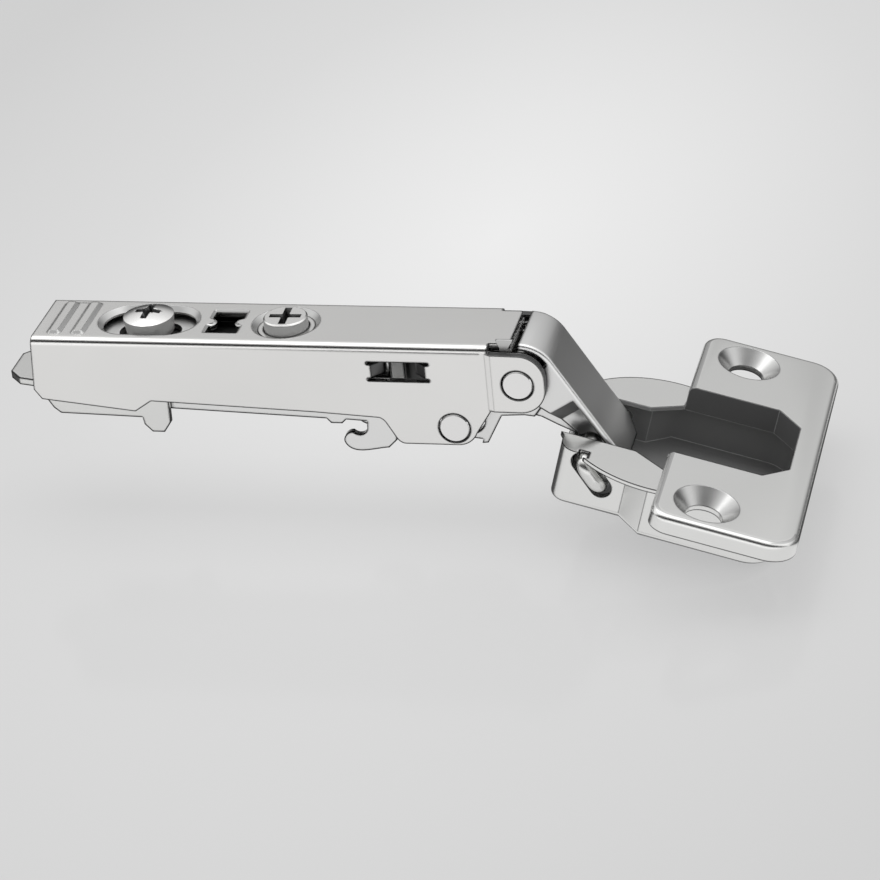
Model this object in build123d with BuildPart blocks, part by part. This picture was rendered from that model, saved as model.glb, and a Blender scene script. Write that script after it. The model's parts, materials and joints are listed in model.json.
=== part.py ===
from build123d import *
import math
import os

# Concealed cup hinge with a clip-on arm, drawn at its full opening.
# The origin is the middle of the front hook axis. +X runs along the arm towards the cup,
# Y is the direction of every pivot, +Z points away from the cabinet side. Millimetres.
# Arm pieces are drawn on planes whose zero is the middle of the arm's rear top edge,
# cup pieces on planes whose zero is the middle of the cup on the flange's top face.

os.makedirs("parts", exist_ok=True)

# Where the arm lies: the hook axis as a station from the rear end and a drop from the top
hook_station = 51.3
hook_drop = 15.6

# Arm
arm_width = 14.4
arm_sheet = 1.15
arm_bend = 1.2
arm_top_length = 73.5
tab_length = 3.3
tab_width = 11.2
rear_depth = 9.1
rear_lean = 0.65
body_depth = 11.9
rear_shelf_depth = 12.6
front_depth = 17.05
belly_start = arm_top_length - 18.0
belly_flat = arm_top_length - 14.3
lug_shift = 0.45
lug_top = 1.0
lug_bottom = 10.95
lug_end = arm_top_length + 8.8
lug_round = 4.1
rib_station = 3.3
rib_pitch = 3.9
rib_size = (2.3, 10.9)
rib_height = 0.45
rim_bevel = 0.8
window_station = arm_top_length - 14.3
window_depth = 4.5
window_size = (8.6, 2.8)

# Pivots, as station and height from the arm's datum
front_pivot = (arm_top_length + 4.48, -6.16)
lower_pivot = (arm_top_length - 6.14, -14.10)
rivet_head = 4.84
rivet_shank = 3.6
rivet_proud = 0.05
rivet_gap = 0.12
rivet_chamfer = 0.2
shank_play = 0.06
spacer_wall = 0.35

# Screws
depth_screw_station = 17.6
depth_head = 8.1
depth_head_draft = 0.3
depth_rim = 0.85
depth_dome = 0.9
depth_neck = 5.6
depth_slot_length = 16.6
depth_slot_width = 10.2
depth_travel = 2.0
side_screw_station = 40.0
side_thread = 7.0
side_hole = 10.8
screw_core = 4.0

# Slide plate and carrier
slide_top = 1.95
slide_sheet = 1.0
slide_start = 2.6
slide_end = 49.0
slide_width = 11.8
slide_play = 0.05
carrier_sheet = 1.1
carrier_width = 9.5
carrier_start = 9.0
carrier_end = hook_station + 6.0
carrier_rear_depth = 12.6
strip_depth = 14.3
hook_mouth = 1.35
hook_tip_station = hook_station - 2.6
hook_bottom = hook_drop + 4.2

# Tilt bearing of the arm on the slide plate
tilt_station = 5.0
tilt_depth = 3.6
tilt_ear = 1.7
tilt_boss = 0.8
tilt_play = 0.05

# Release lever
lever_width = 11.7
lever_sheet = 0.9
lever_pivot = (13.0, -8.0)
lever_pin_size = 3.0
lever_eye = 2.3
tongue_top = 8.1
tongue_sheet = 1.2
tongue_reach = 5.7
tongue_tip_width = 6.0
lever_wire = 0.8

# Outer link: a channel whose web is concentric with the front pivot and then straight
link_run_angle = -58.2
link_width = 12.0
link_sheet = 1.0
link_fold = 0.6
web_radius = 6.2
web_lip_angle = 56.0
web_end_past_pin = 0.9
web_taper_start = 17.0
web_tip_width = 6.5
upper_eye = 4.4
step_start = 7.0
step_end = 9.1
lower_link_width = 9.8
lower_eye = 2.3

# Inner link
inner_width = 9.2
inner_lower_width = 7.2
inner_sheet = 1.2
inner_eye = 2.1
rivet_slot_mid = (1.17, 0.09)
rivet_slot_run = 1.6
rivet_slot_angle = 4.2
rivet_slot_play = 0.5
rivet_slot_wall = 0.6

# Cup
opening_angle = 105.4
cup_station = arm_top_length + 26.23
cup_drop = 14.72
outer_pin_at = (-7.2, -8.5)
inner_pin_at = (-10.5, -5.3)
pin_wire = 2.5
pin_bend = 1.5
pin_proud = 0.35
rim_radius = 16.7
rim_drop = 3.6
rim_sheet = 0.7
cup_sheet = 1.0
cup_depth = 13.2
flange_rear = 1.7
flange_width = 22.4
flange_length = 58.0
flange_sheet = 1.2
flange_skirt = 3.05
flange_fold = 1.1
flange_corner = 4.8
flange_rear_corner = 3.2
screw_offset = 9.5
screw_spacing = 45.0
screw_hole = 5.6
screw_sink = 10.0
mouth_width = 20.6
mouth_end = 20.0
mouth_chamfer = 3.8
link_gap_width = 14.0
link_gap_end = -3.3
front_wall = -14.6
narrow_width = 23.7
narrow_end = -3.5
wide_width = 31.0
body_end = 21.2
body_corner = 2.5
body_rear_corner = 5.0
body_edge = 1.0
front_notch_drop = 8.7

# Spring steel
closing_wire = 1.1
closing_coil = 3.1
closing_turns = 8

datum = (-hook_station, 0, hook_drop)
side = Plane(origin=datum, x_dir=(1, 0, 0), z_dir=(0, -1, 0))
top = Plane(origin=datum)
front_side = Plane(origin=(arm_top_length - hook_station, 0, hook_drop), x_dir=(1, 0, 0), z_dir=(0, -1, 0))

tilt = math.radians(opening_angle - 90)
cup_centre = (cup_station - hook_station, 0, hook_drop - cup_drop)
cup_axis = (math.sin(tilt), 0, math.cos(tilt))
cup_along = (math.cos(tilt), 0, -math.sin(tilt))
cup_top = Plane(origin=cup_centre, x_dir=cup_along, z_dir=cup_axis)
cup_side = Plane(origin=cup_centre, x_dir=cup_along, z_dir=(0, -1, 0))

run = math.radians(link_run_angle)
front_pivot_at = (front_pivot[0] - hook_station, 0, front_pivot[1] + hook_drop)
link_side = Plane(origin=front_pivot_at, x_dir=(math.cos(run), 0, math.sin(run)), z_dir=(0, -1, 0))


def on_plane(plane, point):
    """A point given in the cup's side plane, as seen in another side plane."""
    here = plane.to_local_coords(cup_side.from_local_coords(Vector(point[0], point[1], 0)))
    return (here.X, here.Y)


outer_pin_link = on_plane(link_side, outer_pin_at)
inner_pin_link = on_plane(link_side, inner_pin_at)
inner_pin_front = on_plane(front_side, inner_pin_at)
pin_radius = pin_wire / 2


def walls(half_width, sheet):
    """The two offsets at which the walls of a channel start, and their thickness."""
    return ((half_width, -sheet), (-half_width, sheet))


# Lugs of the arm, stepped outwards from its walls round the front pivot
arm_inner = arm_width - 2 * arm_sheet
front = arm_top_length
half = arm_width / 2
with BuildPart() as lugs:
    with BuildSketch(top):
        with BuildLine():
            Polyline((front - 1.2, half), (front - 0.4, half), (front + 0.5, half + lug_shift),
                     (lug_end, half + lug_shift), (lug_end, half + lug_shift - arm_sheet),
                     (front + 0.7, half + lug_shift - arm_sheet), (front - 0.2, half - arm_sheet),
                     (front - 1.2, half - arm_sheet), (front - 1.2, half))
        make_face()
        mirror(about=Plane.XZ)
    extrude(amount=-front_depth)
    with BuildSketch(side) as lug_outline:
        with BuildLine():
            Polyline((front - 1.2, -lug_top), (lug_end, -lug_top - 0.2), (lug_end, -lug_bottom),
                     (front - 1.2, -lug_bottom + 0.1), (front - 1.2, -lug_top))
        make_face()
        fillet(lug_outline.vertices().sort_by(Axis.X)[-2:], radius=lug_round)
    extrude(amount=arm_width, both=True, mode=Mode.INTERSECT)

# Hinge arm: one folded sheet, open below, with its walls drawn out to a belly and two lugs
bone_length = 5.7
bone_width = 7.9
with BuildPart() as hinge_arm:
    with BuildSketch(side):
        with BuildLine():
            Polyline((0, 0), (arm_top_length, 0), (arm_top_length, -lug_top),
                     (arm_top_length, -lug_bottom + 0.1), (front - 2.6, -14.9))
            RadiusArc((front - 2.6, -14.9), (front - 5.6, -front_depth), 3.4)
            Polyline((front - 5.6, -front_depth), (belly_flat, -front_depth))
            RadiusArc((belly_flat, -front_depth), (front - 15.5, -16.2), 2.0)
            Polyline((front - 15.5, -16.2), (front - 17.0, -13.5))
            RadiusArc((front - 17.0, -13.5), (belly_start, -12.6), -2.0)
            Polyline((belly_start, -12.6), (45.0, -body_depth), (18.6, -10.7),
                     (15.8, -rear_shelf_depth), (0.5, -10.8), (-rear_lean, -rear_depth), (0, 0))
        make_face()
    extrude(amount=half, both=True)
    folds = hinge_arm.edges().filter_by(Axis.X).group_by(Axis.Z)[-1]
    fillet(folds, radius=arm_bend)
    with BuildSketch(top.offset(-arm_sheet)):
        with Locations((arm_top_length / 2, 0)):
            Rectangle(arm_top_length * 2, arm_inner)
    extrude(amount=-front_depth * 2, mode=Mode.SUBTRACT)
    add(lugs.part)
    # tab of the top face that runs on past the walls
    with BuildSketch(top):
        with Locations((arm_top_length + tab_length / 2 - 0.5, 0)):
            RectangleRounded(tab_length + 1, tab_width, 0.4)
    extrude(amount=-arm_sheet)
    # grip ribs pressed up near the rear end
    with BuildSketch(top):
        with Locations((rib_station, 0), (rib_station + rib_pitch, 0)):
            RectangleRounded(*rib_size, 0.7)
    extrude(amount=rib_height, taper=45)
    # openings over the two screws and the keyhole between them, each with a bevelled rim
    with BuildSketch(top):
        with Locations((depth_screw_station, 0)):
            SlotOverall(depth_slot_length, depth_slot_width)
        with Locations((side_screw_station, 0)):
            Circle(side_hole / 2)
    extrude(amount=-rim_bevel, taper=45, mode=Mode.SUBTRACT)
    with BuildSketch(top) as keyhole:
        with Locations((30.2, 0)):
            Rectangle(bone_length, bone_width)
        with Locations((30.2 - bone_length / 2 + 0.1, 0), (30.2 + bone_length / 2 - 0.1, 0)):
            Circle(0.95, mode=Mode.SUBTRACT)
        fillet(keyhole.vertices(), radius=0.3)
    extrude(amount=-0.3, taper=45, mode=Mode.SUBTRACT)
    with BuildSketch(top):
        with Locations((depth_screw_station, 0)):
            SlotOverall(depth_slot_length - 2 * rim_bevel, depth_slot_width - 2 * rim_bevel)
        with Locations((side_screw_station, 0)):
            Circle(side_hole / 2 - rim_bevel)
        with Locations((30.2, 0)):
            Rectangle(bone_length - 0.6, bone_width - 0.6)
        with Locations((30.2 - bone_length / 2 + 0.1, 0), (30.2 + bone_length / 2 - 0.1, 0)):
            Circle(1.25, mode=Mode.SUBTRACT)
    extrude(amount=-arm_sheet, mode=Mode.SUBTRACT)
    # pierced windows in both walls, with relief slits at their corners
    with BuildSketch(side):
        with Locations((window_station, -window_depth)):
            Rectangle(*window_size)
        with Locations((window_station, -window_depth + window_size[1] / 2),
                       (window_station, -window_depth - window_size[1] / 2)):
            SlotOverall(window_size[0] + 1.4, 0.5)
    extrude(amount=arm_width, both=True, mode=Mode.SUBTRACT)
    # ends of the window's metal, bent inwards
    with BuildSketch(top.offset(-window_depth + window_size[1] / 2 - 0.25)):
        with BuildLine():
            Polyline((window_station - window_size[0] / 2 - 0.1, -half),
                     (window_station - window_size[0] / 2 + 1.9, -half + 1.9),
                     (window_station - window_size[0] / 2 + 1.1, -half + 2.2),
                     (window_station - window_size[0] / 2 - 0.1, -half + arm_sheet),
                     (window_station - window_size[0] / 2 - 0.1, -half))
        make_face()
        mirror(about=Plane(origin=(window_station, 0, 0), z_dir=(1, 0, 0)))
        mirror(about=Plane.XZ)
    extrude(amount=-window_size[1] + 0.5)
    # seats of the two rivets
    with BuildSketch(side):
        with Locations(front_pivot, lower_pivot):
            Circle(rivet_head / 2 + rivet_gap)
    extrude(amount=arm_width, both=True, mode=Mode.SUBTRACT)
    # blind seats for the tilt bosses, inside the walls
    with BuildSketch(side):
        with Locations((tilt_station, -tilt_depth)):
            Circle(tilt_boss + tilt_play)
    extrude(amount=arm_inner / 2 + arm_sheet / 2, both=True, mode=Mode.SUBTRACT)
hinge_arm.part.label = "hinge_arm"
export_step(hinge_arm.part, "parts/hinge_arm.step")

# Slide plate: carries the arm at its rear bosses and slides along the carrier
slide_bottom = slide_top + slide_sheet
clip_gap = 0.6
with BuildPart() as slide_plate:
    with BuildSketch(top.offset(-slide_top)):
        with Locations(((slide_start + slide_end) / 2, 0)):
            RectangleRounded(slide_end - slide_start, slide_width, 1.5)
        with Locations((depth_screw_station, 0)):
            SlotOverall(depth_neck + 2 * depth_travel + 0.4, depth_neck + 0.2, mode=Mode.SUBTRACT)
        with Locations((side_screw_station, 0)):
            Circle(screw_core / 2 + shank_play, mode=Mode.SUBTRACT)
        with Locations((30.2, 0)):
            Rectangle(bone_length + 0.6, bone_width - 0.4, mode=Mode.SUBTRACT)
    extrude(amount=-slide_sheet)
    for start, sheet in walls(slide_width / 2, slide_sheet):
        with BuildSketch(side.offset(start)):
            with Locations((tilt_station, -tilt_depth)):
                Circle(tilt_ear)
            with Locations((tilt_station, -(slide_top + tilt_depth) / 2)):
                Rectangle(2 * tilt_ear, tilt_depth - slide_top)
        extrude(amount=sheet)
    with BuildSketch(side):
        with Locations((tilt_station, -tilt_depth)):
            Circle(tilt_boss)
    extrude(amount=arm_inner / 2 + arm_sheet / 2 - tilt_play, both=True)
    with BuildSketch(top.offset(-slide_bottom)):
        with Locations((tilt_station, 0)):
            Rectangle(3 * tilt_ear, slide_width - 2 * slide_sheet)
    extrude(amount=-2 * tilt_ear, mode=Mode.SUBTRACT)
slide_plate.part.label = "slide_plate"
export_step(slide_plate.part, "parts/slide_plate.step")

# Carrier: the channel that clips onto the mounting plate, with two hooks in front
carrier_top = slide_bottom + slide_play
carrier_inner = carrier_width - 2 * carrier_sheet
with BuildPart() as carrier:
    with BuildSketch(side):
        with BuildLine():
            Polyline((carrier_start, -carrier_top), (carrier_end, -carrier_top),
                     (carrier_end, -hook_drop - 2.2), (hook_station + 4.6, -hook_drop - 3.6))
            Spline((hook_station + 4.6, -hook_drop - 3.6), (hook_station + 1.0, -hook_bottom),
                   (hook_station - 1.9, -hook_drop - 3.7), (hook_tip_station, -hook_drop - 2.5),
                   (hook_station - 2.2, -hook_drop - 1.5), (hook_station - 1.0, -hook_drop - 1.0))
            RadiusArc((hook_station - 1.0, -hook_drop - 1.0), (hook_station + hook_mouth, -hook_drop),
                      -hook_mouth)
            Polyline((hook_station + hook_mouth, -hook_drop), (hook_station + 1.45, -strip_depth - 0.3),
                     (hook_station - 1.9, -strip_depth - 0.1), (hook_station - 2.6, -strip_depth - 0.8),
                     (hook_station - 4.4, -strip_depth - 0.8), (hook_station - 5.1, -strip_depth),
                     (20.6, -13.2), (carrier_start + 2, -carrier_rear_depth),
                     (carrier_start, -carrier_rear_depth + 2), (carrier_start, -carrier_top))
        make_face()
    extrude(amount=carrier_width / 2, both=True)
    with BuildSketch(top.offset(-carrier_top - carrier_sheet)):
        with Locations((carrier_end / 2, 0)):
            Rectangle(carrier_end * 2, carrier_inner)
    extrude(amount=-hook_bottom, mode=Mode.SUBTRACT)
    with BuildSketch(top.offset(-carrier_top)):
        with Locations((depth_screw_station, 0)):
            Circle(screw_core / 2 + shank_play)
        with Locations((side_screw_station, 0)):
            SlotOverall(2 * (screw_core - 0.2) + 2 * depth_travel + 0.4, 2 * screw_core - 0.4)
    extrude(amount=-carrier_sheet, mode=Mode.SUBTRACT)
    with BuildSketch(side):
        with Locations(lever_pivot):
            Circle(lever_pin_size / 2)
    extrude(amount=carrier_width, both=True, mode=Mode.SUBTRACT)
carrier.part.label = "carrier"
export_step(carrier.part, "parts/carrier.step")

# Depth screw: domed cross head, a neck in the slide plate's slot and a core in the carrier
with BuildPart() as depth_screw:
    with BuildSketch(side):
        with BuildLine():
            axis_at = depth_screw_station
            Polyline((axis_at, depth_rim + depth_dome), (axis_at, -carrier_top - carrier_sheet - 0.7),
                     (axis_at + screw_core / 2, -carrier_top - carrier_sheet - 0.7),
                     (axis_at + screw_core / 2, -carrier_top),
                     (axis_at + depth_neck / 2, -carrier_top), (axis_at + depth_neck / 2, -slide_top + 0.03),
                     (axis_at + depth_head / 2 - depth_head_draft, -slide_top + 0.03),
                     (axis_at + depth_head / 2, depth_rim))
            RadiusArc((axis_at + depth_head / 2, depth_rim), (axis_at, depth_rim + depth_dome),
                      -(depth_head ** 2 / 4 + depth_dome ** 2) / (2 * depth_dome))
        make_face()
    revolve(axis=Axis(side.from_local_coords(Vector(depth_screw_station, 0, 0)), (0, 0, 1)))
    with BuildSketch(top.offset(depth_rim + depth_dome + 0.05)):
        with Locations((depth_screw_station, 0)):
            Rectangle(4.8, 1.15, rotation=86)
            Rectangle(4.2, 1.15, rotation=176)
            Rectangle(1.9, 1.9, rotation=41)
    extrude(amount=-1.9, taper=16, mode=Mode.SUBTRACT)
depth_screw.part.label = "depth_screw"
export_step(depth_screw.part, "parts/depth_screw.step")

with BuildPart() as depth_screw_ring:
    with BuildSketch(top.offset(-carrier_top - carrier_sheet)):
        with Locations((depth_screw_station, 0)):
            Circle(3.0)
            Circle(screw_core / 2, mode=Mode.SUBTRACT)
    extrude(amount=-0.6)
depth_screw_ring.part.label = "depth_screw_ring"
export_step(depth_screw_ring.part, "parts/depth_screw_ring.step")

# Side screw: flat cross head, thread in the arm's nut, grooved core in the slide plate
with BuildPart() as side_screw:
    with BuildSketch(side):
        with BuildLine():
            axis_at = side_screw_station
            Polyline((axis_at, 1.2), (axis_at, -slide_bottom - clip_gap - 0.3),
                     (axis_at + screw_core / 2, -slide_bottom - clip_gap - 0.3),
                     (axis_at + screw_core / 2, -slide_top + 0.02),
                     (axis_at + side_thread / 2, -slide_top + 0.02),
                     (axis_at + side_thread / 2, 0.95), (axis_at + side_thread / 2 - 0.25, 1.2),
                     (axis_at, 1.2))
        make_face()
    revolve(axis=Axis(side.from_local_coords(Vector(side_screw_station, 0, 0)), (0, 0, 1)))
    with BuildSketch(top.offset(1.2)):
        with Locations((side_screw_station, 0)):
            Rectangle(5.6, 1.1, rotation=92)
            Rectangle(5.0, 1.1, rotation=2)
            Rectangle(1.8, 1.8, rotation=47)
    extrude(amount=-1.6, taper=16, mode=Mode.SUBTRACT)
side_screw.part.label = "side_screw"
export_step(side_screw.part, "parts/side_screw.step")

# Nut ring riveted into the arm's round opening
with BuildPart() as side_screw_nut:
    with BuildSketch(top.offset(-arm_sheet)):
        with Locations((side_screw_station, 0)):
            Circle(side_hole / 2 + 0.2)
            Circle(side_thread / 2 + 0.15, mode=Mode.SUBTRACT)
    extrude(amount=-0.35)
    with BuildSketch(top.offset(-arm_sheet)):
        with Locations((side_screw_station, 0)):
            Circle(side_hole / 2 - rim_bevel - 0.02)
            Circle(side_thread / 2 + 0.15, mode=Mode.SUBTRACT)
    extrude(amount=0.4)
side_screw_nut.part.label = "side_screw_nut"
export_step(side_screw_nut.part, "parts/side_screw_nut.step")

# Clip ring that holds the side screw in the slide plate
with BuildPart() as side_screw_clip:
    with BuildSketch(top.offset(-slide_bottom)):
        with Locations((side_screw_station, 0)):
            Circle(3.2)
            Circle(screw_core / 2, mode=Mode.SUBTRACT)
        with Locations((side_screw_station, 2.6)):
            Rectangle(2.4, 3.0, mode=Mode.SUBTRACT)
    extrude(amount=-clip_gap)
side_screw_clip.part.label = "side_screw_clip"
export_step(side_screw_clip.part, "parts/side_screw_clip.step")

# Release lever: two claw plates joined by a tongue at the rear end
with BuildPart() as release_lever:
    for start, sheet in walls(lever_width / 2, lever_sheet):
        with BuildSketch(side.offset(start)):
            with BuildLine():
                Polyline((-0.4, -tongue_top), (3.4, -tongue_top), (8.0, -9.2), (10.4, -6.8),
                         (12.0, lever_pivot[1] + lever_eye), (14.0, lever_pivot[1] + lever_eye),
                         (16.4, -7.0), (21.0, -11.0), (20.9, -15.2), (19.7, -16.9),
                         (17.7, -16.9), (16.5, -15.6), (16.3, -14.35), (2.8, -13.95),
                         (1.7, -13.0), (-0.4, -9.4), (-0.4, -tongue_top))
            make_face()
            with Locations(lever_pivot):
                Circle(lever_pin_size / 2 + shank_play, mode=Mode.SUBTRACT)
        extrude(amount=sheet)
    with BuildSketch(top.offset(-tongue_top)):
        with BuildLine():
            Polyline((2.0, lever_width / 2), (-0.6, lever_width / 2), (-3.6, 5.2),
                     (-tongue_reach, tongue_tip_width / 2), (-tongue_reach, -tongue_tip_width / 2),
                     (-3.6, -5.2), (-0.6, -lever_width / 2), (2.0, -lever_width / 2),
                     (2.0, lever_width / 2))
        make_face()
    extrude(amount=-tongue_sheet)
release_lever.part.label = "release_lever"
export_step(release_lever.part, "parts/release_lever.step")

with BuildPart() as lever_pin:
    with BuildSketch(side):
        with Locations(lever_pivot):
            Circle(lever_pin_size / 2)
    extrude(amount=lever_width / 2, both=True)
lever_pin.part.label = "lever_pin"
export_step(lever_pin.part, "parts/lever_pin.step")

# Return spring of the lever, wound round its pin, one leg on the tongue and one on the carrier
lever_coil = lever_pin_size / 2 + lever_wire / 2 + 0.25
lever_turns = 3
lever_pitch = lever_wire + 0.1
spring_axis = Axis(side.from_local_coords(Vector(*lever_pivot, 0)), (0, 1, 0))
coil_section = Plane(spring_axis.position, x_dir=(0, 0, 1), z_dir=(1, 0, 0))
with BuildPart() as lever_spring:
    with BuildSketch(coil_section):
        with GridLocations(0, lever_pitch, 1, lever_turns):
            with Locations((lever_coil, 0)):
                Circle(lever_wire / 2)
        with Locations((lever_coil, 0)):
            Rectangle(lever_wire / 2, (lever_turns - 1) * lever_pitch)
    revolve(axis=spring_axis)
    for heading, reach, shift in ((188.9, 11.8, lever_pitch), (60, 2.8, -lever_pitch)):
        along = (math.cos(math.radians(heading)), 0, math.sin(math.radians(heading)))
        across = (-abs(along[2]), 0, abs(along[0]))
        leg_start = spring_axis.position + Vector(*across) * lever_coil + Vector(0, shift, 0)
        with BuildSketch(Plane(leg_start, x_dir=(0, 1, 0), z_dir=along)):
            Circle(lever_wire / 2 - 0.02)
        extrude(amount=reach)
lever_spring.part.label = "lever_spring"
export_step(lever_spring.part, "parts/lever_spring.step")


def rivet(pivot, half_length, head_depth):
    """A plain rivet: two heads that fill the outer walls and a thinner shank between them."""
    with BuildPart() as made:
        with BuildSketch(side):
            with Locations(pivot):
                Circle(rivet_shank / 2)
        extrude(amount=half_length, both=True)
        for start, sheet in walls(half_length, head_depth):
            with BuildSketch(side.offset(start)):
                with Locations(pivot):
                    Circle(rivet_head / 2)
            extrude(amount=sheet)
        rounds = made.edges().filter_by(GeomType.CIRCLE).group_by(Axis.Y)
        chamfer(rounds[0] + rounds[-1], length=rivet_chamfer)
    return made


def spacer(pivot, half_length):
    """The tube on a rivet's shank that keeps two walls apart."""
    with BuildPart() as made:
        with BuildSketch(side):
            with Locations(pivot):
                Circle(rivet_shank / 2 + shank_play + spacer_wall)
                Circle(rivet_shank / 2 + shank_play, mode=Mode.SUBTRACT)
        extrude(amount=half_length, both=True)
    return made


front_rivet = rivet(front_pivot, arm_width / 2 + lug_shift + rivet_proud, arm_sheet + rivet_proud)
front_rivet.part.label = "front_rivet"
export_step(front_rivet.part, "parts/front_rivet.step")

lower_rivet = rivet(lower_pivot, arm_width / 2 + rivet_proud, arm_sheet + rivet_proud)
lower_rivet.part.label = "lower_rivet"
export_step(lower_rivet.part, "parts/lower_rivet.step")

front_spacer = spacer(front_pivot, link_width / 2 - link_sheet)
front_spacer.part.label = "front_spacer"
export_step(front_spacer.part, "parts/front_spacer.step")

lower_spacer = spacer(lower_pivot, inner_width / 2 - inner_sheet)
lower_spacer.part.label = "lower_spacer"
export_step(lower_spacer.part, "parts/lower_spacer.step")

# Walls of the outer link: they step inwards and end in eyes on the outer pin leg
web_end = outer_pin_link[0] + web_end_past_pin
web_inner = web_radius - link_sheet
lip = math.radians(90 + web_lip_angle)
lip_mid = math.radians(90 + web_lip_angle / 2)
link_plan = Plane(origin=link_side.origin, x_dir=link_side.x_dir, z_dir=link_side.y_dir)
upper = link_width / 2
lower = lower_link_width / 2
pin_s, pin_n = inner_pin_link
with BuildPart() as link_walls:
    with BuildSketch(link_plan.offset(-upper_eye)):
        with BuildLine():
            Polyline((-upper_eye, upper), (step_start, upper), (step_end, lower), (web_end + 2, lower),
                     (web_end + 2, lower - link_sheet), (step_end - 0.4, lower - link_sheet),
                     (step_start - 0.4, upper - link_sheet), (-upper_eye, upper - link_sheet),
                     (-upper_eye, upper))
        make_face()
        mirror(about=Plane.XZ)
    extrude(amount=upper_eye + web_inner + 0.1)
    with BuildSketch(link_side):
        Circle(upper_eye)
        with BuildLine():
            Polyline((0, web_inner + 0.1), (outer_pin_link[0] + 1.2, web_inner + 0.1), outer_pin_link,
                     (pin_s - 2.6, pin_n - 1.0), (step_end, 1.2), (7.1, 0.75), (5.3, -0.05),
                     (3.6, -2.2), (0, -2.2), (0, web_inner + 0.1))
        make_face()
        with Locations(outer_pin_link):
            Circle(lower_eye)
        with Locations(inner_pin_link):
            Circle(pin_radius + 0.3, mode=Mode.SUBTRACT)
        with Locations((pin_s, pin_n - 2.0)):
            Rectangle(2 * pin_radius + 0.6, 4.0, mode=Mode.SUBTRACT)
        with Locations((0, 0)):
            Circle(rivet_shank / 2 + shank_play, mode=Mode.SUBTRACT)
        with Locations(outer_pin_link):
            Circle(pin_radius + shank_play, mode=Mode.SUBTRACT)
    extrude(amount=upper, both=True, mode=Mode.INTERSECT)

# Outer link: its web wraps the front pivot and runs down between the rim plates of the cup
with BuildPart() as outer_link:
    # web, rolled round the front pivot at its upper end, with its folds along both sides
    with BuildSketch(link_side):
        with BuildLine():
            Line((0, web_radius), (web_end, web_radius))
            Line((web_end, web_radius), (web_end, web_inner))
            Line((web_end, web_inner), (0, web_inner))
            ThreePointArc((0, web_inner), (web_inner * math.cos(lip_mid), web_inner * math.sin(lip_mid)),
                          (web_inner * math.cos(lip), web_inner * math.sin(lip)))
            Line((web_inner * math.cos(lip), web_inner * math.sin(lip)),
                 (web_radius * math.cos(lip), web_radius * math.sin(lip)))
            ThreePointArc((web_radius * math.cos(lip), web_radius * math.sin(lip)),
                          (web_radius * math.cos(lip_mid), web_radius * math.sin(lip_mid)), (0, web_radius))
        make_face()
    extrude(amount=upper, both=True)
    rims = outer_link.edges().filter_by(lambda edge: abs(abs(edge.center().Y) - upper) < 0.01)
    straight = rims.filter_by(GeomType.LINE).sort_by(Axis(link_side.origin, link_side.y_dir))[-2:]
    curved = rims.filter_by(GeomType.CIRCLE).sort_by(SortBy.RADIUS)[-2:]
    fillet(straight + curved, radius=link_fold)
    add(link_walls.part)
    # taper of the web's tip
    with BuildSketch(link_plan.offset(web_inner - 0.05)):
        with BuildLine():
            Polyline((web_taper_start, upper + 1), (web_taper_start, upper),
                     (web_end, web_tip_width / 2), (web_end + 2, web_tip_width / 2),
                     (web_end + 2, upper + 1), (web_taper_start, upper + 1))
        make_face()
        mirror(about=Plane.XZ)
    extrude(amount=2 * link_sheet, mode=Mode.SUBTRACT)
outer_link.part.label = "outer_link"
export_step(outer_link.part, "parts/outer_link.step")

# Inner link: an arched channel from the lower rivet over the cup's edge to the inner pin leg.
# Its hole on the lower rivet is a slot, the one pivot of the linkage with play.
slot_mid = (lower_pivot[0] - front + rivet_slot_mid[0], lower_pivot[1] + rivet_slot_mid[1])
slot_radius = rivet_shank / 2 + rivet_slot_play
pin_x, pin_z = inner_pin_front
with BuildPart() as inner_link:
    for start, sheet in walls(inner_width / 2, inner_sheet):
        with BuildSketch(front_side.offset(start)):
            with BuildLine():
                Polyline((-7.1, -11.6), (-2.5, -10.3), (2.5, -10.0), (6.7, -10.0), (7.7, -10.8),
                         (6.1, -13.1), (4.5, -12.9), (0.8, -13.1), (-1.6, -17.4), (-6.7, -16.8),
                         (-7.1, -11.6))
            make_face()
            with Locations(slot_mid):
                SlotCenterToCenter(rivet_slot_run, 2 * (slot_radius + rivet_slot_wall), rotation=rivet_slot_angle)
                SlotCenterToCenter(rivet_slot_run, 2 * slot_radius, rotation=rivet_slot_angle, mode=Mode.SUBTRACT)
        extrude(amount=sheet)
    for start, sheet in walls(inner_lower_width / 2, inner_sheet):
        with BuildSketch(front_side.offset(start)):
            with BuildLine():
                Polyline((3.9, -10.0), (7.3, -10.0), (10.5, -10.9), (13.4, -13.5),
                         (pin_x + 1.2, pin_z + 1.6), (pin_x, pin_z), (pin_x - 2.0, pin_z + 0.5),
                         (9.5, -15.0), (6.9, -13.6), (3.9, -12.9), (3.9, -10.0))
            make_face()
            with Locations(inner_pin_front):
                Circle(inner_eye)
                Circle(pin_radius + shank_play, mode=Mode.SUBTRACT)
        extrude(amount=sheet)
    # webs that join the walls along the lower edge
    with BuildSketch(front_side):
        with BuildLine():
            Polyline((-1.6, -17.9), (0.9, -13.1), (4.4, -12.9), (4.4, -11.8), (0.4, -11.9),
                     (-2.3, -16.9), (-2.6, -18.0), (-1.6, -17.9))
        make_face()
    extrude(amount=inner_width / 2, both=True)
    with BuildSketch(front_side):
        with BuildLine():
            Polyline((3.9, -12.9), (6.9, -13.6), (9.5, -15.0), (10.0, -14.0), (7.3, -12.6),
                     (3.9, -11.8), (3.9, -12.9))
        make_face()
    extrude(amount=inner_lower_width / 2, both=True)
inner_link.part.label = "inner_link"
export_step(inner_link.part, "parts/inner_link.step")

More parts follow.
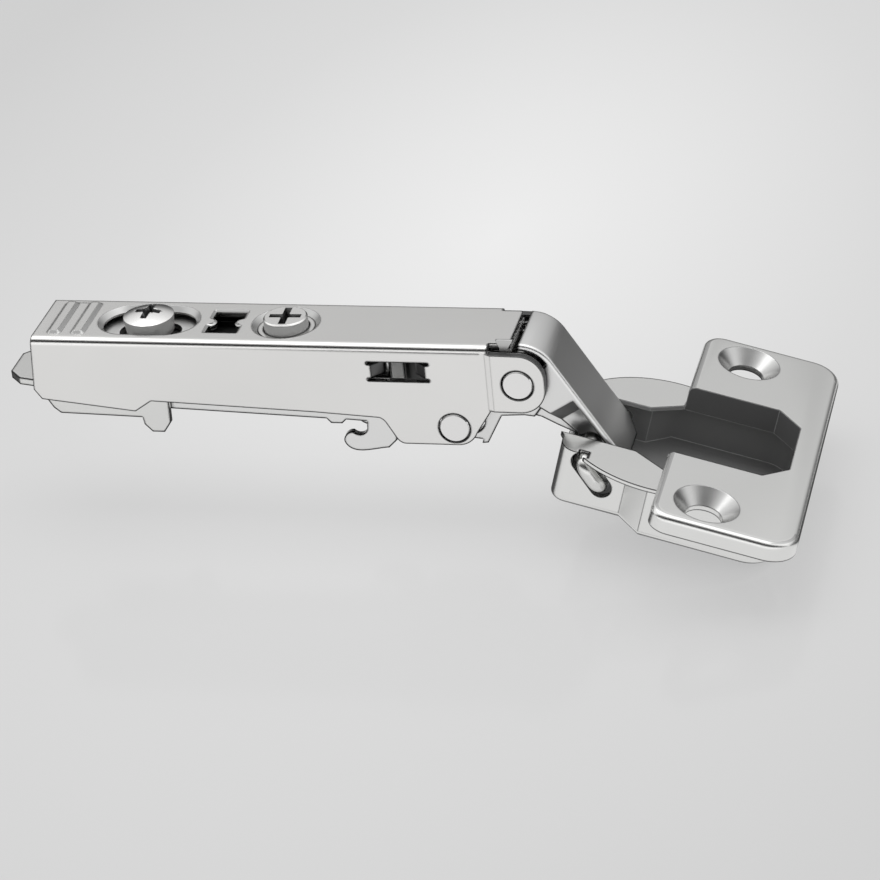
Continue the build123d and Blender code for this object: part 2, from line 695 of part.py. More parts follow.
# Closing spring: wound round the front spacer, one leg under the bracket, one on the inner link
closing_pitch = closing_wire + 0.05
closing_axis = Axis(side.from_local_coords(Vector(*front_pivot, 0)), (0, 1, 0))
closing_section = Plane(closing_axis.position, x_dir=(0, 0, 1), z_dir=(1, 0, 0))
with BuildPart() as closing_spring:
    with BuildSketch(closing_section):
        with GridLocations(0, closing_pitch, 1, closing_turns):
            with Locations((closing_coil, 0)):
                Circle(closing_wire / 2)
        with Locations((closing_coil, 0)):
            Rectangle(closing_wire / 2, (closing_turns - 1) * closing_pitch)
    revolve(axis=closing_axis)
    for heading, reach, shift in ((175.1, 12.0, 3.5), (270, 3.5, -2.5)):
        along = (math.cos(math.radians(heading)), 0, math.sin(math.radians(heading)))
        across = (abs(along[2]), 0, abs(along[0]))
        leg_start = closing_axis.position + Vector(*across) * closing_coil
        leg_start = leg_start + Vector(0, shift * closing_pitch, 0)
        with BuildSketch(Plane(leg_start, x_dir=(0, 1, 0), z_dir=along)):
            Circle(closing_wire / 2 - 0.02)
        extrude(amount=reach)
closing_spring.part.label = "closing_spring"
export_step(closing_spring.part, "parts/closing_spring.step")

# Front bracket: spring abutment under the arm's tab, its two ears stand in the front notches
with BuildPart() as front_bracket:
    with BuildSketch(top.offset(-arm_sheet)):
        with Locations((front - 0.9, 0)):
            Rectangle(8.6, 2 * 5.55)
    extrude(amount=-0.5)
    with BuildSketch(front_side.offset(6.2)):
        with BuildLine():
            Polyline((1.8, -arm_sheet - 0.5), (3.2, -arm_sheet - 0.5), (3.2, -0.5),
                     (4.0, 0.8), (1.3, 0.8), (1.8, -0.5), (1.8, -arm_sheet - 0.5))
        make_face()
    extrude(amount=-0.55)
    with BuildSketch(front_side.offset(6.2)):
        with Locations((2.5, -arm_sheet - 0.25)):
            Rectangle(1.4, 0.5)
    extrude(amount=-0.8)
front_bracket.part.label = "front_bracket"
export_step(front_bracket.part, "parts/front_bracket.step")

# Hinge cup: one drawn piece with its flange, a stepped box body and a mouth for the links
body_drop = rim_drop + rim_sheet
flange_end = flange_rear + flange_width
flange_mid = (flange_rear + flange_end) / 2


def half_body(inset):
    """Half the plan of the cup's box: narrow by the pin, wide under the flange, drawn in by inset."""
    narrow = narrow_width / 2 - inset
    wide = wide_width / 2 - inset
    start = front_wall + inset
    turn = inset * math.tan(math.pi / 8)
    return ((start, 0), (start, narrow), (narrow_end + turn, narrow),
            (narrow_end + wide - narrow + turn, wide), (body_end - inset, wide), (body_end - inset, 0))


with BuildPart() as hinge_cup:
    with BuildSketch(cup_top):
        with Locations((flange_mid, 0)):
            Rectangle(flange_width, flange_length)
    extrude(amount=-flange_skirt)
    corners = hinge_cup.edges().filter_by(lambda edge: abs(edge.length - flange_skirt) < 0.01)
    corner_order = corners.sort_by(Axis(cup_top.origin, cup_top.x_dir))
    fillet(corner_order[2:], radius=flange_corner)
    corners = hinge_cup.edges().filter_by(lambda edge: abs(edge.length - flange_skirt) < 0.01)
    fillet(corners.sort_by(Axis(cup_top.origin, cup_top.x_dir))[:2], radius=flange_rear_corner)
    fillet(hinge_cup.faces().sort_by(Axis(cup_top.origin, cup_top.z_dir))[-1].edges(), radius=flange_fold)
    with BuildSketch(cup_top.offset(-flange_sheet)):
        with Locations((flange_mid, 0)):
            RectangleRounded(flange_width - 2 * flange_sheet, flange_length - 2 * flange_sheet, 2.2)
    extrude(amount=-flange_skirt, mode=Mode.SUBTRACT)
    # box body below the rim and its collar up to the flange
    with BuildSketch(cup_top.offset(-rim_drop)) as body_sketch:
        with BuildLine():
            Polyline(*half_body(0))
            mirror(about=Plane.XZ)
        make_face()
        across_order = body_sketch.vertices().sort_by(Axis.X)
        fillet(across_order[-2:], radius=body_rear_corner)
        fillet(body_sketch.vertices().sort_by(Axis.X)[:2], radius=body_corner)
    extrude(amount=-(cup_depth - rim_drop))
    bottom = hinge_cup.faces().sort_by(Axis(cup_top.origin, cup_top.z_dir))[0]
    fillet(bottom.edges(), radius=body_edge)
    with BuildSketch(cup_top.offset(-flange_sheet / 2)):
        with Locations(((flange_rear + mouth_end + 1.1) / 2, 0)):
            Rectangle(mouth_end + 1.1 - flange_rear, mouth_width + 2.2)
    extrude(amount=-(rim_drop - flange_sheet / 2))
    with BuildSketch(cup_top.offset(-rim_drop)):
        Circle(rim_radius)
        with Locations((rim_radius + flange_rear + 1.2, 0)):
            Rectangle(2 * rim_radius, 4 * rim_radius, mode=Mode.SUBTRACT)
    extrude(amount=-rim_sheet)
    # raised seats round the two fixing screws
    with BuildSketch(cup_top.offset(-flange_sheet / 2)):
        with Locations((screw_offset, screw_spacing / 2), (screw_offset, -screw_spacing / 2)):
            Circle(screw_sink / 2 + 0.9)
    extrude(amount=-(flange_skirt - flange_sheet / 2), taper=20)
    # cavity of the box
    with BuildSketch(cup_top.offset(-body_drop)) as cavity:
        with BuildLine():
            Polyline(*half_body(cup_sheet))
            mirror(about=Plane.XZ)
        make_face()
        fillet(cavity.vertices().sort_by(Axis.X)[-2:], radius=body_rear_corner - cup_sheet)
        fillet(cavity.vertices().sort_by(Axis.X)[:2], radius=body_corner - cup_sheet)
    extrude(amount=-(cup_depth - body_drop - cup_sheet), mode=Mode.SUBTRACT)
    # mouth through the flange and the gap between the rim plates
    with BuildSketch(cup_top):
        with BuildLine():
            Polyline((-2 * rim_radius, link_gap_width / 2), (link_gap_end, link_gap_width / 2),
                     (flange_rear, mouth_width / 2), (mouth_end - mouth_chamfer, mouth_width / 2),
                     (mouth_end, mouth_width / 2 - mouth_chamfer), (mouth_end, 0))
            mirror(about=Plane.XZ)
            Line((-2 * rim_radius, link_gap_width / 2), (-2 * rim_radius, -link_gap_width / 2))
        make_face()
    extrude(amount=-body_drop, mode=Mode.SUBTRACT)
    with BuildSketch(cup_top):
        with Locations((front_wall, 0)):
            Rectangle(2.6 * cup_sheet, link_gap_width)
    extrude(amount=-front_notch_drop, mode=Mode.SUBTRACT)
    # countersunk fixing holes
    with Locations(cup_top):
        with Locations((screw_offset, screw_spacing / 2), (screw_offset, -screw_spacing / 2)):
            CounterSinkHole(screw_hole / 2, screw_sink / 2, depth=flange_skirt + 1, counter_sink_angle=90)
    # window for the bend of the pin in the near wall and the two holes in the far wall
    pin_line = math.degrees(math.atan2(outer_pin_at[1] - inner_pin_at[1], outer_pin_at[0] - inner_pin_at[0]))
    pin_pitch = math.dist(outer_pin_at, inner_pin_at)
    pin_mid = ((outer_pin_at[0] + inner_pin_at[0]) / 2, (outer_pin_at[1] + inner_pin_at[1]) / 2)
    with BuildSketch(cup_side.offset(narrow_width / 2 - cup_sheet)):
        with Locations(pin_mid):
            SlotCenterToCenter(pin_pitch + 0.5, 2 * pin_radius + 0.8, rotation=pin_line)
    extrude(amount=2 * cup_sheet, mode=Mode.SUBTRACT)
    with BuildSketch(cup_side.offset(-narrow_width / 2 + cup_sheet)):
        with Locations(outer_pin_at, inner_pin_at):
            Circle(pin_radius)
    extrude(amount=-2 * cup_sheet, mode=Mode.SUBTRACT)
    # grooves under the rim plates over the inner leg
    with BuildSketch(cup_side):
        with Locations(inner_pin_at):
            Circle(pin_radius + shank_play)
    extrude(amount=narrow_width / 2 - cup_sheet, both=True, mode=Mode.SUBTRACT)
hinge_cup.part.label = "hinge_cup"
export_step(hinge_cup.part, "parts/hinge_cup.step")


def cup_point(at, across):
    """A point of the cup's side plane, moved across the hinge."""
    return cup_side.from_local_coords(Vector(at[0], at[1], -across))


# Cup pin: one wire bent like a hairpin, whose two legs are the pivots of the links
bend_at = -(narrow_width / 2 + pin_proud)
leg_end = narrow_width / 2 - 0.1
with BuildPart() as cup_pin:
    with BuildLine() as pin_path:
        FilletPolyline(cup_point(inner_pin_at, leg_end), cup_point(inner_pin_at, bend_at),
                       cup_point(outer_pin_at, bend_at), cup_point(outer_pin_at, leg_end), radius=pin_bend)
    with BuildSketch(Plane(cup_point(inner_pin_at, leg_end), z_dir=(0, -1, 0))):
        Circle(pin_radius)
    sweep()
cup_pin.part.label = "cup_pin"
export_step(cup_pin.part, "parts/cup_pin.step")
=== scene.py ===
import bmesh
import bpy
import json
import math
import numpy as np
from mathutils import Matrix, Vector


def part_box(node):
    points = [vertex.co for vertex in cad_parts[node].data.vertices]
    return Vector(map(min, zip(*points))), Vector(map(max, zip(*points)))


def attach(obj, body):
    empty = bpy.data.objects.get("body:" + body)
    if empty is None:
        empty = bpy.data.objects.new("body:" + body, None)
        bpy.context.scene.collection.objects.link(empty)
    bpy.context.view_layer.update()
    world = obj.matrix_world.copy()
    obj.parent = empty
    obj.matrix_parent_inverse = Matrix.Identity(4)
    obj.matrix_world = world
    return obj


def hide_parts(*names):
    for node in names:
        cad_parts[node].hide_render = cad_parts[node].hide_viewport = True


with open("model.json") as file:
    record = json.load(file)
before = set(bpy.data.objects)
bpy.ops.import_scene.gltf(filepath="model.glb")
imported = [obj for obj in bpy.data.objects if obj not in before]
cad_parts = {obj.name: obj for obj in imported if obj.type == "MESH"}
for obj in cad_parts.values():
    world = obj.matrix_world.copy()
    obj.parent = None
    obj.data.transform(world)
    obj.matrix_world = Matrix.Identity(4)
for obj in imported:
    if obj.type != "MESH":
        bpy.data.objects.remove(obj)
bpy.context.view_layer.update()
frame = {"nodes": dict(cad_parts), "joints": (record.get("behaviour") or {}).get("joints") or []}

# Camera: the photograph is square, taken from in front of the hinge's right-hand side,
# a little above it, through a long lens.
mm = 0.001
photo_width = 880
camera_focal_pixels = 3498.0
camera_place = (138.75 * mm, -467.5 * mm, 257.1 * mm)
camera_turn = (61.496, 5.082, 12.463)
camera = bpy.data.cameras.new("camera")
camera.sensor_width = 36.0
camera.lens = camera_focal_pixels / photo_width * camera.sensor_width
camera.clip_end = 20.0
camera_object = bpy.data.objects.new("camera", camera)
camera_object.location = camera_place
camera_object.rotation_euler = [math.radians(angle) for angle in camera_turn]
bpy.context.scene.collection.objects.link(camera_object)
bpy.context.scene.camera = camera_object
bpy.context.scene.view_settings.view_transform = "Standard"


# Table: a pale sheet of polished acrylic under the cup that runs out of the picture. Its colour is a painted
# pool of light, brightest near the middle, and it glows a little for the camera, which washes out the object's
# shadow. For glossy rays it glows with a painted reflection that bright metal sees as a card in front of the
# hinge and a narrow one behind, with a dark patch beneath as painted shadow.
def node_tree(name):
    """An empty node material and its tree."""
    material = bpy.data.materials.new(name)
    material.use_nodes = True
    material.node_tree.nodes.clear()
    return material, material.node_tree


def add_node(tree, kind, settings=None, values=None, operation=None):
    """A node of the given kind, with its settings, its sockets' values and its operation."""
    node = tree.nodes.new(kind)
    if operation:
        node.operation = operation
    for key, value in (settings or {}).items():
        setattr(node, key, value)
    for key, value in (values or {}).items():
        node.inputs[key].default_value = value
    return node


def ramp_stops(node, stops):
    """Fills a colour ramp with grey stops, each a place and a brightness."""
    ramp = node.color_ramp
    while len(ramp.elements) < len(stops):
        ramp.elements.new(0.5)
    for element, (place, grey) in zip(ramp.elements, stops):
        element.position = place
        element.color = (grey, grey, grey, 1)


table_half = 3.0
table_gap = 0.2 * mm
table_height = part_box("hinge_cup")[0].z - table_gap
pool_shift = (0, -0.385, 0)
pool_stretch = (7.7, 3.85, 0)
reflection_back, reflection_front = 0.50, -0.30
shadow_lift = 0.66
corners = np.array([(-1, -1), (1, -1), (1, 1), (-1, 1)]) * table_half
mesh = bpy.data.meshes.new("table")
mesh.from_pydata(np.column_stack([corners, np.full(4, table_height)]).tolist(), [], [(0, 1, 2, 3)])
table = bpy.data.objects.new("table", mesh)
bpy.context.scene.collection.objects.link(table)

table_paint, tree = node_tree("table_paint")
place = add_node(tree, "ShaderNodeTexCoord")
# A painted pool of light: the table's colour is brightest near the middle and darker outwards.
pool = add_node(tree, "ShaderNodeMapping", values={"Location": pool_shift, "Scale": pool_stretch})
away = add_node(tree, "ShaderNodeVectorMath", operation="LENGTH")
painted_light_pool = add_node(tree, "ShaderNodeValToRGB")
ramp_stops(painted_light_pool, ((0.0, 0.89), (0.23, 0.83), (0.54, 0.735), (0.77, 0.70), (1.0, 0.66)))
tree.links.new(place.outputs["Object"], pool.inputs["Vector"])
tree.links.new(pool.outputs["Vector"], away.inputs[0])
tree.links.new(away.outputs["Value"], painted_light_pool.inputs["Fac"])
acrylic = add_node(tree, "ShaderNodeBsdfPrincipled", values={"Roughness": 0.14, "Specular IOR Level": 0.5})
tree.links.new(painted_light_pool.outputs["Color"], acrylic.inputs["Base Color"])
# For glossy rays the table glows with a painted reflection: bright bands in front of the hinge and behind it,
# and a dark patch beneath it as painted shadow.
apart = add_node(tree, "ShaderNodeSeparateXYZ")
forward = add_node(tree, "ShaderNodeMapRange", values={"From Min": reflection_back, "From Max": reflection_front})
painted_reflection = add_node(tree, "ShaderNodeValToRGB")
ramp_stops(painted_reflection, ((0.0, 0.05), (0.39, 0.05), (0.45, 0.70), (0.544, 0.70), (0.569, 0.08), (0.631, 0.08),
                        (0.642, 0.90), (0.7375, 0.96), (0.85, 1.25), (1.0, 1.35)))
reflection_glow = add_node(tree, "ShaderNodeEmission")
tree.links.new(place.outputs["Object"], apart.inputs[0])
tree.links.new(apart.outputs["Y"], forward.inputs["Value"])
tree.links.new(forward.outputs["Result"], painted_reflection.inputs["Fac"])
tree.links.new(painted_reflection.outputs["Color"], reflection_glow.inputs["Color"])
# For camera rays the table partly glows in its painted pool of light, which washes out the object's shadow.
ray = add_node(tree, "ShaderNodeLightPath")
lift = add_node(tree, "ShaderNodeEmission", values={"Strength": 0.98})
lift_share = add_node(tree, "ShaderNodeMath", operation="MULTIPLY", values={1: shadow_lift})
lifted = add_node(tree, "ShaderNodeMixShader")
either = add_node(tree, "ShaderNodeMixShader")
out = add_node(tree, "ShaderNodeOutputMaterial")
tree.links.new(painted_light_pool.outputs["Color"], lift.inputs["Color"])
tree.links.new(ray.outputs["Is Camera Ray"], lift_share.inputs[0])
tree.links.new(lift_share.outputs[0], lifted.inputs[0])
tree.links.new(acrylic.outputs[0], lifted.inputs[1])
tree.links.new(lift.outputs[0], lifted.inputs[2])
tree.links.new(ray.outputs["Is Glossy Ray"], either.inputs[0])
tree.links.new(lifted.outputs[0], either.inputs[1])
tree.links.new(reflection_glow.outputs[0], either.inputs[2])
tree.links.new(either.outputs[0], out.inputs[0])
table.data.materials.append(table_paint)

# Light: a soft box overhead, and a studio that only the metal's shine sees. The studio is dark
# at the horizon behind and bright overhead, with a black screen hung in front over a white card.
soft_box_place = (-0.05, 0.05, 0.75)
soft_box_lean = math.radians(-4)
backdrop = (0.74, 0.74, 0.74, 1)
soft_box = bpy.data.lights.new("soft_box", "AREA")
soft_box.shape = "RECTANGLE"
soft_box.size = 0.9
soft_box.size_y = 0.5
soft_box.energy = 1.6
soft_box_object = bpy.data.objects.new("soft_box", soft_box)
soft_box_object.location = soft_box_place
soft_box_object.rotation_euler = (soft_box_lean, 0, 0)
bpy.context.scene.collection.objects.link(soft_box_object)

room = bpy.data.worlds.new("room")
room.use_nodes = True
bpy.context.scene.world = room
tree = room.node_tree
tree.nodes.clear()
sight = add_node(tree, "ShaderNodeTexCoord")
apart = add_node(tree, "ShaderNodeSeparateXYZ")
over = add_node(tree, "ShaderNodeMath", operation="ARCTAN2")
over_share = add_node(tree, "ShaderNodeMapRange", values={"From Min": 0.0, "From Max": math.pi})
studio = add_node(tree, "ShaderNodeValToRGB")
ramp_stops(studio, ((0.00, 0.10), (0.06, 0.20), (0.12, 0.55), (0.17, 0.76), (0.25, 0.93), (0.34, 1.18),
                    (0.56, 1.24), (0.64, 0.95), (0.70, 0.03), (0.86, 0.02), (0.91, 1.25), (1.00, 1.40)))
tree.links.new(sight.outputs["Generated"], apart.inputs[0])
tree.links.new(apart.outputs["Z"], over.inputs[0])
tree.links.new(apart.outputs["Y"], over.inputs[1])
tree.links.new(over.outputs[0], over_share.inputs["Value"])
tree.links.new(over_share.outputs["Result"], studio.inputs["Fac"])
ray = add_node(tree, "ShaderNodeLightPath")
pick = add_node(tree, "ShaderNodeMix", {"data_type": "RGBA"}, {"A": backdrop})
glow = add_node(tree, "ShaderNodeBackground")
out = add_node(tree, "ShaderNodeOutputWorld")
tree.links.new(ray.outputs["Is Glossy Ray"], pick.inputs["Factor"])
tree.links.new(studio.outputs["Color"], pick.inputs["B"])
tree.links.new(pick.outputs["Result"], glow.inputs["Color"])
tree.links.new(glow.outputs[0], out.inputs[0])

# Hinge arm: one channel folded from nickel-plated steel sheet, with two raised grip ribs, an
# oval and a round opening for the screws and a keyhole between them, and two stepped lugs.
# The lugs' sheared edges are darker than the plated faces and are painted near black as painted shade, the
# inside and the pressed slopes are painted darker as painted shade, and rolling leaves a faint grain.
def grain_group():
    """Streaks along X and slow clouds, as a colour factor, a roughness and a height."""
    group = bpy.data.node_groups.new("rolling_grain", "ShaderNodeTree")
    for name, direction, kind in (("Colour", "INPUT", "Color"), ("Roughness", "INPUT", "Float"),
                                  ("Streak", "INPUT", "Float"), ("Color", "OUTPUT", "Color"),
                                  ("Roughness", "OUTPUT", "Float"), ("Height", "OUTPUT", "Float")):
        group.interface.new_socket(name, in_out=direction, socket_type="NodeSocket" + kind)
    given = add_node(group, "NodeGroupInput")
    result = add_node(group, "NodeGroupOutput")
    where = add_node(group, "ShaderNodeTexCoord")
    stretch = add_node(group, "ShaderNodeMapping", values={"Scale": (0.05, 1.0, 1.0)})
    streaks = add_node(group, "ShaderNodeTexNoise", values={"Scale": 2200, "Detail": 3})
    clouds = add_node(group, "ShaderNodeTexNoise", values={"Scale": 55, "Detail": 2})
    rough = add_node(group, "ShaderNodeMath", operation="MULTIPLY_ADD")
    tint = add_node(group, "ShaderNodeMapRange", values={"To Min": 0.95, "To Max": 1.03})
    scaled = add_node(group, "ShaderNodeVectorMath", operation="SCALE")
    group.links.new(where.outputs["Object"], stretch.inputs["Vector"])
    group.links.new(stretch.outputs["Vector"], streaks.inputs["Vector"])
    group.links.new(where.outputs["Object"], clouds.inputs["Vector"])
    group.links.new(streaks.outputs["Fac"], rough.inputs[0])
    group.links.new(given.outputs["Streak"], rough.inputs[1])
    group.links.new(given.outputs["Roughness"], rough.inputs[2])
    group.links.new(rough.outputs[0], result.inputs["Roughness"])
    group.links.new(clouds.outputs["Fac"], tint.inputs["Value"])
    group.links.new(given.outputs["Colour"], scaled.inputs[0])
    group.links.new(tint.outputs["Result"], scaled.inputs["Scale"])
    group.links.new(scaled.outputs["Vector"], result.inputs["Color"])
    group.links.new(streaks.outputs["Fac"], result.inputs["Height"])
    return group


rolling_grain = grain_group()


def edge_group():
    """Mixes in the line's colour where the rounded normal turns away from the flat one: a painted line along
    every edge, painted shade where it is darker and painted highlight where it is lighter.
    """
    group = bpy.data.node_groups.new("painted_edge_line", "ShaderNodeTree")
    for name, direction, kind in (("Rounded", "INPUT", "Vector"), ("Flat", "INPUT", "Vector"),
                                  ("Colour", "INPUT", "Color"), ("Line", "INPUT", "Color"),
                                  ("Color", "OUTPUT", "Color")):
        group.interface.new_socket(name, in_out=direction, socket_type="NodeSocket" + kind)
    given = add_node(group, "NodeGroupInput")
    result = add_node(group, "NodeGroupOutput")
    turn = add_node(group, "ShaderNodeVectorMath", operation="DOT_PRODUCT")
    line = add_node(group, "ShaderNodeMapRange", values={"From Min": 0.998, "From Max": 0.93})
    mix = add_node(group, "ShaderNodeMix", {"data_type": "RGBA"})
    group.links.new(given.outputs["Rounded"], turn.inputs[0])
    group.links.new(given.outputs["Flat"], turn.inputs[1])
    group.links.new(turn.outputs["Value"], line.inputs["Value"])
    group.links.new(line.outputs["Result"], mix.inputs["Factor"])
    group.links.new(given.outputs["Colour"], mix.inputs["A"])
    group.links.new(given.outputs["Line"], mix.inputs["B"])
    group.links.new(mix.outputs["Result"], result.inputs["Color"])
    return group


painted_edge_line = edge_group()
grain_strength = 0.004
grain_depth = 0.05 * mm
# The near black of painted shade, and the width in mm over which it blends in.
painted_shade_colour = (0.025, 0.025, 0.025, 1)
painted_shade_blend = 0.5


def nickel(name, colour, roughness, streak=0.06, metallic=1.0, painted_shade_stretch=None, edge=0.62, line=0.02):
    """Plated steel: a metal whose colour, roughness and surface come from the rolling grain.

    streak is how far the grain moves the roughness, edge the radius of its rounded edges in mm, along which
    runs a painted line, painted shade where it is darker than the plating and painted highlight where it is
    lighter, and line how light that line is. The shade stretch, where given, is the stretch of X in mm over
    which the plating is painted dark, as painted shade."""
    material, tree = node_tree(name)
    grain = add_node(tree, "ShaderNodeGroup", {"node_tree": rolling_grain},
                     {"Colour": (*colour, 1), "Roughness": roughness, "Streak": streak})
    raise_it = add_node(tree, "ShaderNodeBump", values={"Strength": grain_strength, "Distance": grain_depth})
    metal = add_node(tree, "ShaderNodeBsdfPrincipled", values={"Metallic": metallic})
    result = add_node(tree, "ShaderNodeOutputMaterial")
    round_off = add_node(tree, "ShaderNodeBevel", {"samples": 8}, {"Radius": edge * mm})
    flat = add_node(tree, "ShaderNodeNewGeometry")
    outline = add_node(tree, "ShaderNodeGroup", {"node_tree": painted_edge_line}, {"Line": (line, line, line, 1)})
    tree.links.new(round_off.outputs["Normal"], outline.inputs["Rounded"])
    tree.links.new(flat.outputs["Normal"], outline.inputs["Flat"])
    tree.links.new(round_off.outputs["Normal"], raise_it.inputs["Normal"])
    if painted_shade_stretch:
        where = add_node(tree, "ShaderNodeTexCoord")
        apart = add_node(tree, "ShaderNodeSeparateXYZ")
        away = add_node(tree, "ShaderNodeMath", operation="SUBTRACT", values={1: sum(painted_shade_stretch) / 2 * mm})
        off = add_node(tree, "ShaderNodeMath", operation="ABSOLUTE")
        reach = (painted_shade_stretch[1] - painted_shade_stretch[0]) / 2
        mask = add_node(tree, "ShaderNodeMapRange",
                        values={"From Min": (reach - painted_shade_blend) * mm, "From Max": reach * mm})
        shade = add_node(tree, "ShaderNodeMix", {"data_type": "RGBA"}, {"A": painted_shade_colour})
        tree.links.new(where.outputs["Object"], apart.inputs[0])
        tree.links.new(apart.outputs["X"], away.inputs[0])
        tree.links.new(away.outputs[0], off.inputs[0])
        tree.links.new(off.outputs[0], mask.inputs["Value"])
        tree.links.new(mask.outputs["Result"], shade.inputs["Factor"])
        tree.links.new(grain.outputs["Color"], shade.inputs["B"])
        tree.links.new(shade.outputs["Result"], outline.inputs["Colour"])
    else:
        tree.links.new(grain.outputs["Color"], outline.inputs["Colour"])
    tree.links.new(outline.outputs["Color"], metal.inputs["Base Color"])
    tree.links.new(grain.outputs["Roughness"], metal.inputs["Roughness"])
    tree.links.new(grain.outputs["Height"], raise_it.inputs["Height"])
    tree.links.new(raise_it.outputs["Normal"], metal.inputs["Normal"])
    tree.links.new(metal.outputs[0], result.inputs[0])
    return material


merge_reach = 0.002 * mm
flat_turn = math.radians(0.4)
sharp_turn = math.radians(14)


def dressed(node, body, finishes, finish_of=None):
    """The CAD node's form with its flat faces made whole and its curves made smooth.

    finishes are its materials. finish_of, where given, tells from the faces' middles in mm and
    their normals which of them each face takes."""
    source = frame["nodes"][node]
    mesh = source.data.copy()
    work = bmesh.new()
    work.from_mesh(mesh)
    bmesh.ops.remove_doubles(work, verts=work.verts, dist=merge_reach)
    bmesh.ops.dissolve_limit(work, angle_limit=flat_turn, verts=work.verts, edges=work.edges)
    work.to_mesh(mesh)
    work.free()
    mesh.materials.clear()
    for finish in finishes:
        mesh.materials.append(finish)
    if finish_of:
        middles = np.empty(len(mesh.polygons) * 3)
        normals = np.empty(len(mesh.polygons) * 3)
        mesh.polygons.foreach_get("center", middles)
        mesh.polygons.foreach_get("normal", normals)
        chosen = finish_of(middles.reshape(-1, 3) / mm, normals.reshape(-1, 3))
        mesh.polygons.foreach_set("material_index", chosen.astype(np.int32))
    mesh.shade_smooth()
    mesh.set_sharp_from_angle(angle=sharp_turn)
    piece = bpy.data.objects.new(node + "_dressed", mesh)
    bpy.context.scene.collection.objects.link(piece)
    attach(piece, body)
    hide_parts(node)
    source.data.materials.clear()
    source.data.materials.append(finishes[0])
    return piece


def plain(node, finish):
    """The CAD node as it is, in one finish."""
    mesh = frame["nodes"][node].data
    mesh.materials.clear()
    mesh.materials.append(finish)


arm_nickel = nickel("arm_nickel", (0.74, 0.735, 0.725), 0.16, edge=0.50)
inner_shade = nickel("inner_shade", (0.12, 0.12, 0.12), 0.32)
shaded_sheared_edge = nickel("shaded_sheared_edge", (0.05, 0.05, 0.05), 0.45, metallic=0.2, edge=0.2, line=0.3)
painted_slope_shade = nickel("painted_slope_shade", (0.52, 0.52, 0.515), 0.30, edge=0.1, line=0.5)
arm_start = -51.3
top_height = 15.6
wall_middle = 6.6
inner_top = top_height - 1.0
lug_start = arm_start + 66.5
lug_inside = 6.0
lug_top = top_height - 0.6
pressed_half = 6.2
pressed_foot = top_height - 1.2
level, upright = 0.97, 0.2


def arm_faces(middles, normals):
    """3 on slopes pressed in the top, painted a darker grey as shade; 2 on the lugs' sheared edges, painted
    near black as shade; 1 inside, painted dark as shade; 0 elsewhere.
    """
    along, across, high = middles[:, 0], np.abs(middles[:, 1]), middles[:, 2]
    inside = (across < wall_middle) & (high < inner_top)
    lugs = (along > lug_start) & (across > lug_inside)
    sheared = lugs & (np.abs(normals[:, 1]) < 0.75) & (high < lug_top)
    slope = (normals[:, 2] < level) & (normals[:, 2] > upright)
    pressed = slope & (across < pressed_half) & (high > pressed_foot)
    return np.where(pressed, 3, np.where(sheared, 2, np.where(inside, 1, 0)))


dressed("hinge_arm", "arm", (arm_nickel, inner_shade, shaded_sheared_edge, painted_slope_shade), arm_faces)

# Slide plate and carrier: the two inner channels, pressed from plated steel sheet. The slide
# plate carries the arm on two rear bosses and holds the side screw; the carrier below it holds
# the depth screw's core and clips onto the mounting plate with two hooks in front.
under_keyhole = (arm_start + 25.5, arm_start + 35.0)
carrier_web_foot = top_height - 4
# The slide plate is painted dark under the keyhole, as painted shade.
slide_nickel = nickel("slide_nickel", (0.66, 0.66, 0.655), 0.36, edge=0.2, painted_shade_stretch=under_keyhole)
carrier_nickel = nickel("carrier_nickel", (0.72, 0.72, 0.715), 0.19)


def carrier_web(middles, normals):
    """The upper face of the carrier's web, painted dark as painted shade under the slide plate."""
    return (normals[:, 2] > 0.9) & (middles[:, 2] > carrier_web_foot)


dressed("slide_plate", "slide_plate", (slide_nickel,))
dressed("carrier", "carrier", (carrier_nickel, inner_shade), carrier_web)

# Release lever: two claw plates of plated steel sheet, joined by a tongue at the rear end. It
# turns on a pin in the carrier, and a small wound spring pushes its claws shut.
lever_nickel = nickel("lever_nickel", (0.70, 0.70, 0.69), 0.20)
dressed("release_lever", "release_lever", (lever_nickel,))

# Screws: nickel-plated, turned, with pressed cross recesses. The domed one sets the depth, and
# the flat one, with its thread in a ring nut riveted into the arm's opening, sets the side.
screw_nickel = nickel("screw_nickel", (0.80, 0.795, 0.785), 0.15, edge=0.15, line=0.3)
recess_shade = nickel("recess_shade", (0.14, 0.14, 0.14), 0.30, edge=0.06)
screw_side_grey = nickel("screw_side_grey", (0.42, 0.42, 0.415), 0.42, metallic=0.5, edge=0.2, line=0.1)
joint_places = {joint["name"]: np.array(joint["pos_m"]) / mm for joint in frame["joints"] if joint.get("pos_m")}
head_foot = top_height - 0.7
recess_foot = top_height + 0.3


def screw_faces(x_place, reach):
    """2 on the turned side, which is a darker grey, and 1 in the cross recess, painted dark as shade, of the
    screw whose axis stands at x_place.
    """
    def pick(middles, normals):
        away = np.hypot(middles[:, 0] - x_place, middles[:, 1])
        high, lean = middles[:, 2], normals[:, 2]
        recess = (away < reach) & (high > head_foot) & ((lean < 0.6) | (high < recess_foot))
        turned = (away > reach) & (np.abs(lean) < 0.3)
        return np.where(recess, 1, np.where(turned, 2, 0))
    return pick


screw_finishes = (screw_nickel, recess_shade, screw_side_grey)
for screw, recess_reach in (("depth_screw", 3.2), ("side_screw", 2.6)):
    dressed(screw, screw, screw_finishes, screw_faces(joint_places[screw + "_turn"][0], recess_reach))

# Rivets: bright steel, each a thin shank between two heads that fill the arm's lugs, with a fine
# dark gap round them. The front one carries the outer link and the lower one the inner link.
rivet_steel = nickel("rivet_steel", (0.76, 0.755, 0.75), 0.17, edge=0.08)
dressed("front_rivet", "arm", (rivet_steel,))
dressed("lower_rivet", "arm", (rivet_steel,))

# Springs: cold-drawn round wire. The closing spring is wound round the front spacer, with its legs
# on the bracket and the inner link, and the lever's spring is wound round the lever's pin.
wire_sides = 20
leg_points = 6
helix_step = math.radians(10)
wire_end_turn = math.radians(50)


